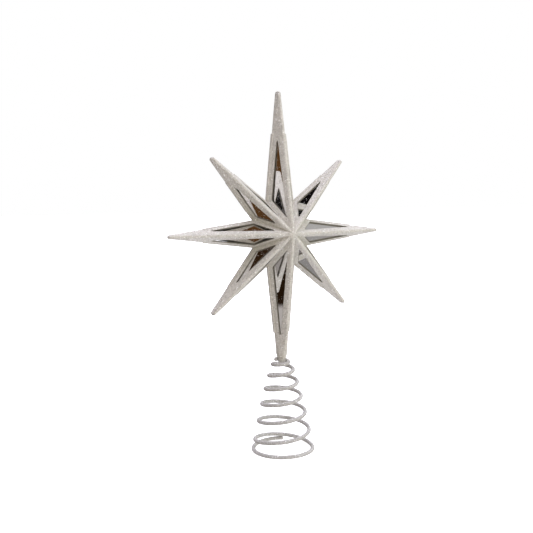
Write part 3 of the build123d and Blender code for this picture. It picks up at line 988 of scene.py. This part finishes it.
# The studio that gloss sees, from straight down to straight up: its warm dark left and its grey right.
# Its levels fall towards the back, and it turns from left to right between two places on X.
STUDIO_SLOPE = -0.12
STUDIO_TURN = (-0.5, -0.3)
STUDIO_LEFT = (
    (0.0, (0.24, 0.22, 0.21)),
    (0.3620, (0.46, 0.43, 0.41)),
    (0.3630, (0.016, 0.008, 0.003)),
    (0.465, (0.013, 0.006, 0.0025)),
    (0.495, (0.097, 0.046, 0.016)),
    (0.76, (0.097, 0.046, 0.016)),
    (0.86, (0.006, 0.005, 0.005)),
)
STUDIO_RIGHT = (
    (0.0, (0.26, 0.25, 0.245)),
    (0.2, (0.34, 0.33, 0.32)),
    (0.5, (0.62, 0.61, 0.60)),
    (0.82, (0.42, 0.41, 0.40)),
    (0.9, (0.02, 0.019, 0.02)),
    (0.97, (0.004, 0.003, 0.003)),
)

# The soft light on matt surfaces: its part from each end of an axis, and the dark share round the middle
SOFT_LIGHT = {
    "X": ((0.02, 0.016, 0.012), (0.70, 0.78, 0.76), 0.0),
    "Y": ((0.96, 0.89, 0.76), (0.96, 0.89, 0.80), 0.0),
    "Z": ((1.46, 1.48, 1.80), (2.36, 2.35, 2.84), 0.5),
}


def studio_world():
    """White behind the star, a soft light for matt surfaces, and for gloss a studio with a dark side."""
    world = bpy.data.worlds.new("studio")
    sheet = NodeSheet(world, "Background")
    direction = sheet.add("ShaderNodeTexCoord", "Generated", {})
    axes = sheet.add("ShaderNodeSeparateXYZ", "X", {0: direction}).node.outputs
    slope = {0: axes["Y"], 1: STUDIO_SLOPE, 2: axes["Z"]}
    sloped = sheet.add("ShaderNodeMath", 0, slope, operation="MULTIPLY_ADD")
    height = sheet.range(sloped, 0.0, 1.0, -1.0, 1.0)
    side = sheet.range(axes["X"], 0.0, 1.0, *STUDIO_TURN)
    studio = sheet.mix(sheet.ramp(height, STUDIO_LEFT), sheet.ramp(height, STUDIO_RIGHT), side)
    soft = BLACK
    for axis, (low, high, gap) in SOFT_LIGHT.items():
        along = sheet.range(axes[axis], 0.0, 1.0, -1.0, 1.0)
        stops = ((0.0, low), (0.5 - gap / 2, BLACK), (0.5 + gap / 2, BLACK), (1.0, high))
        soft = sheet.mix(soft, sheet.ramp(along, stops), 1.0, "ADD")
    rays = sheet.add("ShaderNodeLightPath", "Is Glossy Ray", {}).node.outputs
    lit = sheet.mix(soft, studio, rays["Is Glossy Ray"])
    sheet.feed(sheet.shader, {"Color": sheet.mix(lit, WHITE, rays["Is Camera Ray"])})
    bpy.context.scene.world = world


class STAR_OT_stage(bpy.types.Operator):
    """Sets the pale floor, the soft studio light and the camera"""

    bl_idname = "star.set_stage"
    bl_label = "Stage"

    def execute(self, context):
        stage = context.scene.stage_sizes
        half = stage.floor_size / 2
        corners = np.array([[-half, -half, 0], [half, -half, 0], [half, half, 0], [-half, half, 0]])
        mesh = bpy.data.meshes.new("floor")
        mesh.from_pydata(corners.tolist(), [], [(0, 1, 2, 3)])
        mesh.materials.append(floor_material(context.scene.finish_colours, stage.floor_glow))
        floor = add_object("floor", mesh)
        floor.visible_diffuse = False
        floor.visible_glossy = False
        key_light(stage)
        studio_world()
        photo_camera(stage)
        context.scene.view_settings.view_transform = "Standard"
        return {"FINISHED"}


OPERATORS = (STAR_OT_halves, STAR_OT_mirrors, STAR_OT_spring, STAR_OT_stage)


class STAR_PT_panel(bpy.types.Panel):
    """Lists the star's pieces in the order in which they are made"""

    bl_idname = "STAR_PT_panel"
    bl_label = "Tree topper star"
    bl_space_type = "VIEW_3D"
    bl_region_type = "UI"
    bl_category = "Star"

    def draw(self, context):
        for operator in OPERATORS:
            self.layout.operator(operator.bl_idname)


GROUPS = {
    "star_sizes": StarSizes,
    "spring_sizes": SpringSizes,
    "finish_colours": FinishColours,
    "stage_sizes": StageSizes,
}


def register():
    for name, group in GROUPS.items():
        bpy.utils.register_class(group)
        setattr(bpy.types.Scene, name, PointerProperty(type=group))
    for cls in (*OPERATORS, STAR_PT_panel):
        bpy.utils.register_class(cls)


def unregister():
    for cls in (STAR_PT_panel, *OPERATORS[::-1]):
        bpy.utils.unregister_class(cls)
    for name, group in GROUPS.items():
        delattr(bpy.types.Scene, name)
        bpy.utils.unregister_class(group)


def main():
    register()
    bpy.ops.star.make_halves()
    bpy.ops.star.make_mirrors()
    bpy.ops.star.make_spring()
    bpy.ops.star.set_stage()


if __name__ == "__main__":
    main()
